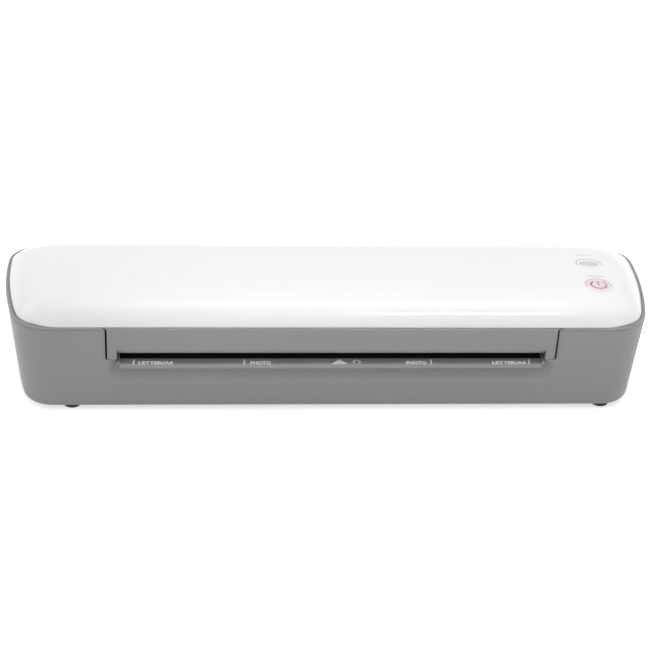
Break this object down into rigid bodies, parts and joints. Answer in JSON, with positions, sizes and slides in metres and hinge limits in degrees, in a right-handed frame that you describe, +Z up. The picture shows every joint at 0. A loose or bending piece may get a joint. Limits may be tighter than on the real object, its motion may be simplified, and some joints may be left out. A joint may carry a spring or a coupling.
{
  "type": "pouch laminator",
  "caption": "Desktop pouch laminator for A4 sheets with a domed white lid, a grey base, a front entry tray, heated rollers and a power button.",
  "frame": {"origin": "on the floor, under the middle of the casing", "axes": "+X to the right seen from the front, +Y to the back where the pouch comes out, +Z up"},
  "size_m": [0.371, 0.104, 0.072],
  "materials": {
    "grey_plastic": "satin",
    "white_plastic": "gloss",
    "black_plastic": "matt",
    "clear_plastic": "gloss",
    "button_plastic": "gloss",
    "rubber": "matt",
    "silicone": "matt",
    "steel": "satin",
    "zinc_plate": "satin",
    "aluminium": "satin",
    "bronze": "satin",
    "gear_plastic": "satin",
    "board": "satin",
    "mica": "matt",
    "ceramic": "matt",
    "terminal": "matt"
  },
  "bodies": {
    "casing": {"base_shell": "grey_plastic", "board_screws": "steel", "case_screws": "steel", "control_board": "board", "cord_inlet": "rubber", "drive_motor": "steel", "entry_shelf": "grey_plastic", "exit_guide": "black_plastic", "foot_front_left": "rubber", "foot_front_right": "rubber", "foot_rear_left": "rubber", "foot_rear_right": "rubber", "frame_left": "zinc_plate", "frame_right": "zinc_plate", "frame_screws": "steel", "front_bezel": "grey_plastic", "idler_stud": "steel", "lid": "white_plastic", "lower_bush_left": "bronze", "lower_bush_right": "bronze", "lower_heat_shoe": "aluminium", "lower_heater": "mica", "mains_relay": "black_plastic", "motor_plate": "zinc_plate", "motor_screws": "steel", "motor_spacers": "steel", "power_board": "board", "power_switch": "black_plastic", "pressure_spring_left": "steel", "pressure_spring_right": "steel", "ready_lens": "clear_plastic", "smoothing_capacitor": "steel", "status_leds": "clear_plastic", "terminal_block": "terminal", "thermal_fuse": "steel", "thermostat": "ceramic", "tie_rod_front": "steel", "tie_rod_rear": "steel", "upper_bush_left": "bronze", "upper_bush_right": "bronze", "upper_heat_shoe": "aluminium", "upper_heater": "mica"},
    "power_button": {"power_button": "button_plastic", "switch_plunger": "button_plastic"},
    "upper_roller": {"upper_roller_shaft": "steel", "upper_roller_sleeve": "silicone", "upper_shaft_clip": "steel", "upper_roller_gear": "gear_plastic"},
    "lower_roller": {"lower_roller_shaft": "steel", "lower_roller_sleeve": "silicone", "lower_shaft_clip": "steel", "lower_roller_gear": "gear_plastic"},
    "idler": {"idler_gear": "gear_plastic"},
    "motor_output": {"motor_pinion": "gear_plastic"}
  },
  "joints": [
    {"name": "power_press", "type": "slide", "parent": "casing", "child": "power_button", "axis": [0, 0.0238, -0.9997], "range_m": [0, 0.0006], "stiffness_N_per_m": 2500, "springref_m": -0.0004},
    {"name": "lower_roller_spin", "type": "hinge", "parent": "casing", "child": "lower_roller", "pos_m": [0, 0.014, 0.024], "axis": [1, 0, 0], "continuous": true},
    {"name": "upper_roller_spin", "type": "hinge", "parent": "casing", "child": "upper_roller", "pos_m": [0, 0.014, 0.048], "axis": [1, 0, 0], "continuous": true},
    {"name": "idler_spin", "type": "hinge", "parent": "casing", "child": "idler", "pos_m": [0, -0.01192, 0.029], "axis": [1, 0, 0], "continuous": true},
    {"name": "motor_spin", "type": "hinge", "parent": "casing", "child": "motor_output", "pos_m": [0, -0.03123, 0.0452], "axis": [1, 0, 0], "continuous": true}
  ],
  "couplings": [
    {"joint": "upper_roller_spin", "follows": "lower_roller_spin", "ratio": -1},
    {"joint": "idler_spin", "follows": "lower_roller_spin", "ratio": -0.83333},
    {"joint": "motor_spin", "follows": "lower_roller_spin", "ratio": 1.1111}
  ]
}
